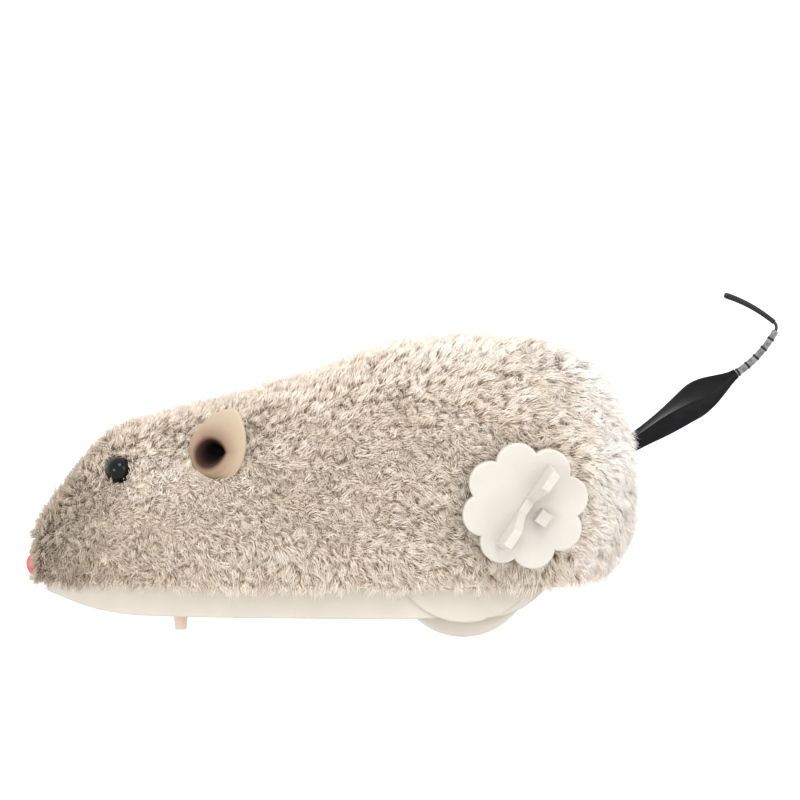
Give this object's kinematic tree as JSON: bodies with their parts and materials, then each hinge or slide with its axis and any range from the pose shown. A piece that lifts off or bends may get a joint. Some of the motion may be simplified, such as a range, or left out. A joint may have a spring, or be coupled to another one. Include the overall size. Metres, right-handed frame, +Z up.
{
  "type": "clockwork mouse",
  "caption": "Wind-up toy mouse in a fur coat: flower-shaped key on its flank, drive wheels under the rump, a front peg, bead eyes, rolled ears and a black sprung tail.",
  "frame": {"origin": "centre of the front peg's foot, on the floor that the mouse stands on", "axes": "-X towards the nose, +X towards the tail, -Y the mouse's left side with the key, +Z up"},
  "size_m": [0.1641, 0.0691, 0.0718],
  "materials": {
    "fur": "long soft pile, grey roots and pale tips",
    "cream_plastic": "moulded, satin",
    "key_plastic": "moulded, satin gloss",
    "shell_plastic": "moulded, plain",
    "peg_plastic": "moulded, slightly translucent",
    "bead_black": "polished",
    "nose_pink": "soft gloss",
    "ear_leather": "thin, smooth, dull",
    "tail_black": "thin, glossy, wrapped",
    "tail_core": "blackened wire",
    "spring_steel": "blued strip",
    "plate_steel": "stamped sheet, zinc plated",
    "shaft_steel": "ground",
    "screw_steel": "zinc plated",
    "gear_plastic": "acetal, natural white",
    "brass": "turned"
  },
  "bodies": {
    "chassis": {"fur_cover": "fur", "body_shell": "shell_plastic", "base_shell": "cream_plastic", "base_screws": "screw_steel", "front_peg": "peg_plastic", "nose": "nose_pink", "eye_left": "bead_black", "eye_right": "bead_black", "ear_left": "ear_leather", "ear_right": "ear_leather", "motor_plate_left": "plate_steel", "motor_plate_right": "plate_steel", "motor_pillars": "shaft_steel", "pillar_screws": "screw_steel", "motor_screws": "screw_steel", "mainspring": "spring_steel", "winding_bush": "gear_plastic", "idler_shaft": "shaft_steel", "tail_grommet": "gear_plastic"},
    "spring_gear": {"great_wheel": "gear_plastic"},
    "winder": {"winding_arbor": "shaft_steel", "clutch_spring": "spring_steel", "winding_key": "key_plastic"},
    "idler": {"idler_gear": "gear_plastic"},
    "drive": {"axle_pinion": "brass", "drive_axle": "shaft_steel", "drive_wheel_left": "cream_plastic", "drive_wheel_right": "cream_plastic", "axle_spacers": "gear_plastic"},
    "tail_root": {"tail_plug": "bead_black"},
    "tail": {"tail_wire": "tail_core", "tail_bulb": "tail_black", "tail_sleeve": "tail_black", "tail_tip": "tail_black"}
  },
  "joints": [
    {"name": "wheels_roll", "type": "hinge", "parent": "chassis", "child": "drive", "pos_m": [0.059, 0, 0.01475], "axis": [0, 1, 0], "continuous": true},
    {"name": "idler_spin", "type": "hinge", "parent": "chassis", "child": "idler", "pos_m": [0.05588, 0, 0.02425], "axis": [0, 1, 0], "continuous": true},
    {"name": "train_run", "type": "hinge", "parent": "chassis", "child": "spring_gear", "pos_m": [0.07, 0, 0.0293], "axis": [0, 1, 0], "continuous": true},
    {"name": "key_wind", "type": "hinge", "parent": "spring_gear", "child": "winder", "pos_m": [0.07, 0, 0.0293], "axis": [0, 1, 0], "continuous": true},
    {"name": "tail_swivel", "type": "hinge", "parent": "chassis", "child": "tail_root", "pos_m": [0.0971, 0, 0.0388], "axis": [0.848, 0, 0.5299], "range_deg": [-90, 90]},
    {"name": "tail_flex", "type": "hinge", "parent": "tail_root", "child": "tail", "pos_m": [0.0971, 0, 0.0388], "axis": [0, 1, 0], "range_deg": [-12, 12], "stiffness_Nm_per_rad": 0.02}
  ],
  "couplings": [
    {"joint": "idler_spin", "follows": "wheels_roll", "ratio": -0.33333},
    {"joint": "train_run", "follows": "wheels_roll", "ratio": 0.083333}
  ]
}
